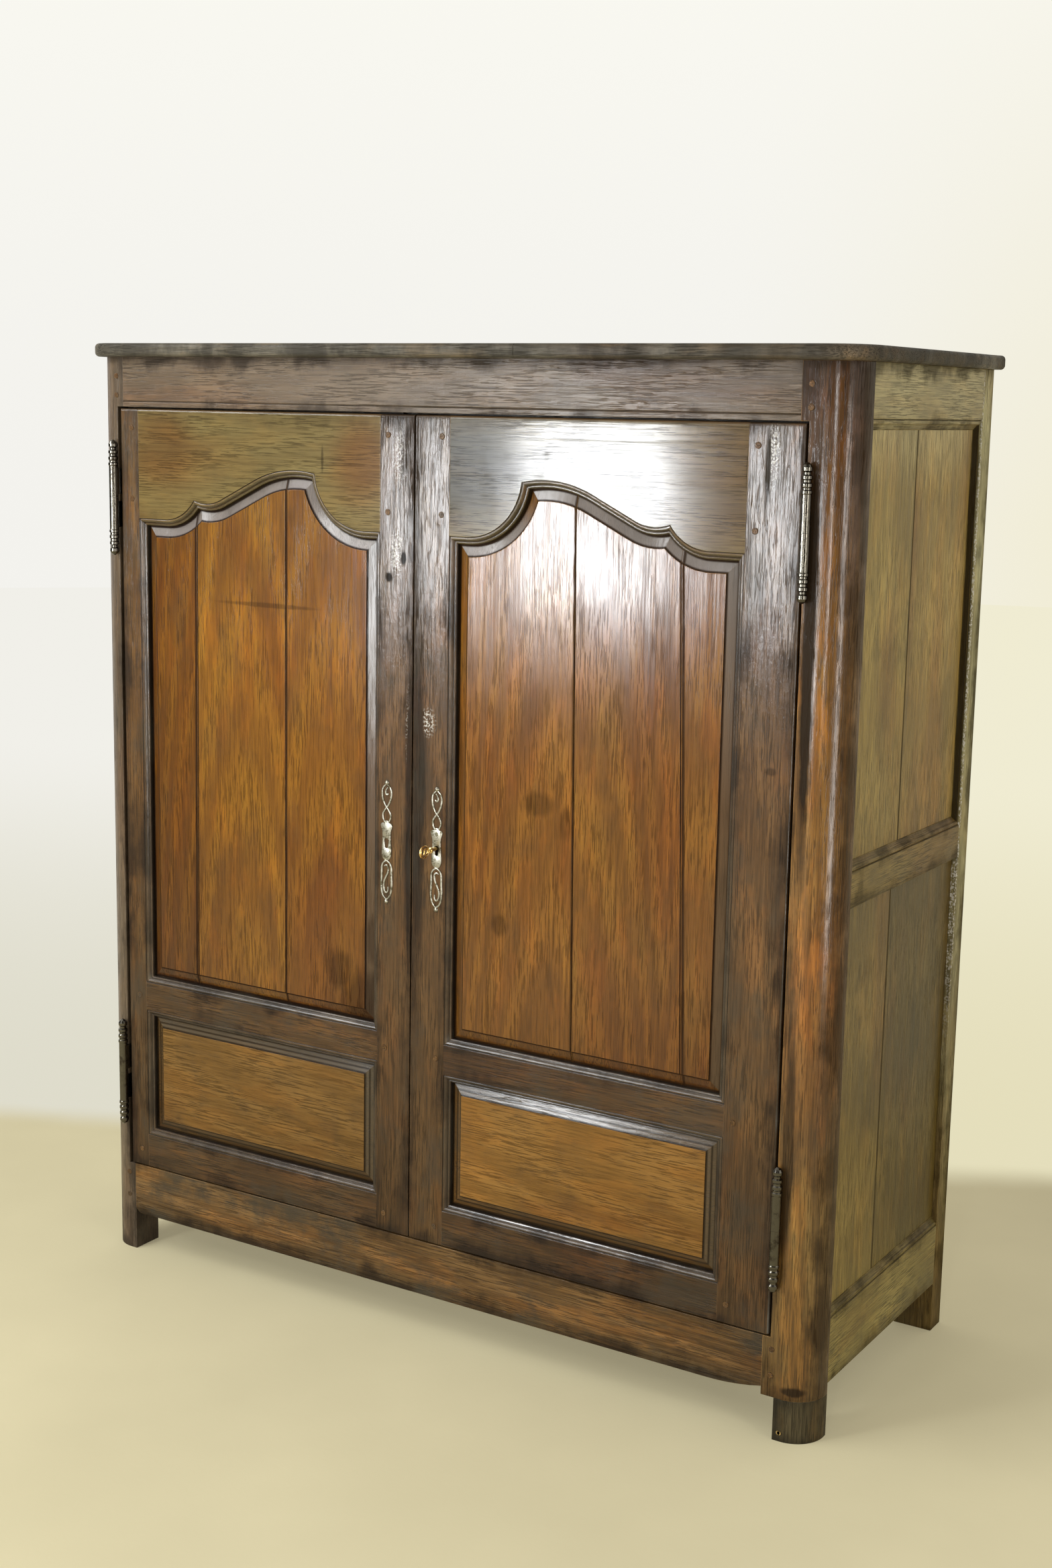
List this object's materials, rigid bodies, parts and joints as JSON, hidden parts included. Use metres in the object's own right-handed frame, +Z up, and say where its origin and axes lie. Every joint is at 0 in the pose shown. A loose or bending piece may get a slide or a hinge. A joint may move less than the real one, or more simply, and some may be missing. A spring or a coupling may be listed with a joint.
{
  "type": "two-door cabinet",
  "caption": "Low oak armoire with arched fielded panels, long barrel hinges, pierced escutcheons and a key; the doors swing wide over shelves",
  "frame": {"origin": "on the floor, at the centre of the whole footprint", "axes": "X to the right seen from the front, Y to the back, Z up"},
  "size_m": [1.436, 0.588, 1.622],
  "materials": {
    "escutcheon_metal": "tarnished pale brass",
    "hinge_iron": "worn grey iron",
    "key_brass": "handled brass",
    "lock_iron": "dark forged iron",
    "nail_brass": "dull brass",
    "oak_door_frame": "dark waxed oak, worn satin",
    "oak_frame": "dark waxed oak, worn satin",
    "oak_inside": "bare oak, matt",
    "oak_panel": "warm waxed oak, worn satin",
    "oak_repair": "stained repair oak, matt",
    "oak_side": "greyish brown oak, dull wax",
    "oak_top": "dark oak planks, satin"
  },
  "bodies": {
    "carcass": {"back_boards": "oak_inside", "back_bottom_rail": "oak_inside", "back_top_rail": "oak_inside", "floor_bearers": "oak_inside", "floor_boards": "oak_inside", "foot_repair_nails": "nail_brass", "frame_pegs": "oak_frame", "front_bottom_rail": "oak_frame", "front_foot_repair": "oak_repair", "front_post_left": "oak_frame", "front_post_right": "oak_frame", "front_top_rail": "oak_frame", "post_left_hinge_pintles": "hinge_iron", "post_right_hinge_pintles": "hinge_iron", "rear_post_left": "oak_side", "rear_post_right": "oak_side", "shelf_cleats": "oak_inside", "shelf_lower": "oak_inside", "shelf_upper": "oak_inside", "side_left_bottom_rail": "oak_side", "side_left_lower_panel": "oak_side", "side_left_mid_rail": "oak_side", "side_left_top_rail": "oak_side", "side_left_upper_panel": "oak_side", "side_right_bottom_rail": "oak_side", "side_right_lower_panel": "oak_side", "side_right_mid_rail": "oak_side", "side_right_top_rail": "oak_side", "side_right_upper_panel": "oak_side", "top_front_boards": "oak_top", "top_middle_board": "oak_top", "top_rear_board": "oak_top"},
    "door_left": {"door_left_bottom_rail": "oak_door_frame", "door_left_escutcheon": "escutcheon_metal", "door_left_hinge_sockets": "hinge_iron", "door_left_hinge_stile": "oak_door_frame", "door_left_lower_panel": "oak_panel", "door_left_meeting_stile": "oak_door_frame", "door_left_mid_rail": "oak_door_frame", "door_left_pegs": "oak_door_frame", "door_left_top_rail": "oak_door_frame", "door_left_upper_panel": "oak_panel", "door_bolt_plates": "lock_iron", "lock_keeper": "lock_iron"},
    "door_right": {"door_right_bottom_rail": "oak_door_frame", "door_right_escutcheon": "escutcheon_metal", "door_right_hinge_sockets": "hinge_iron", "door_right_hinge_stile": "oak_door_frame", "door_right_lower_panel": "oak_panel", "door_right_meeting_stile": "oak_door_frame", "door_right_mid_rail": "oak_door_frame", "door_right_pegs": "oak_door_frame", "door_right_top_rail": "oak_door_frame", "door_right_upper_panel": "oak_panel", "lock_case": "lock_iron"},
    "lock_bolt": {"lock_bolt": "lock_iron"},
    "key": {"key": "key_brass"},
    "upper_bolt": {"upper_bolt": "lock_iron"},
    "lower_bolt": {"lower_bolt": "lock_iron"}
  },
  "joints": [
    {"name": "left_door_hinge", "type": "hinge", "parent": "carcass", "child": "door_left", "pos_m": [-0.6555, -0.255, 0.85], "axis": [0, 0, -1], "range_deg": [0, 170]},
    {"name": "right_door_hinge", "type": "hinge", "parent": "carcass", "child": "door_right", "pos_m": [0.6355, -0.255, 0.85], "axis": [0, 0, 1], "range_deg": [0, 170]},
    {"name": "key_turn", "type": "hinge", "parent": "door_right", "child": "key", "pos_m": [0.016, -0.2, 0.833], "axis": [0, -1, 0], "range_deg": [0, 180]},
    {"name": "lock_bolt_slide", "type": "slide", "parent": "door_right", "child": "lock_bolt", "axis": [-1, 0, 0], "range_m": [0, 0.012]},
    {"name": "upper_bolt_slide", "type": "slide", "parent": "door_left", "child": "upper_bolt", "axis": [0, 0, 1], "range_m": [0, 0.014]},
    {"name": "lower_bolt_slide", "type": "slide", "parent": "door_left", "child": "lower_bolt", "axis": [0, 0, -1], "range_m": [0, 0.014]}
  ],
  "couplings": [
    {"joint": "key_turn", "follows": "lock_bolt_slide", "rad_per_m": 261.8}
  ]
}
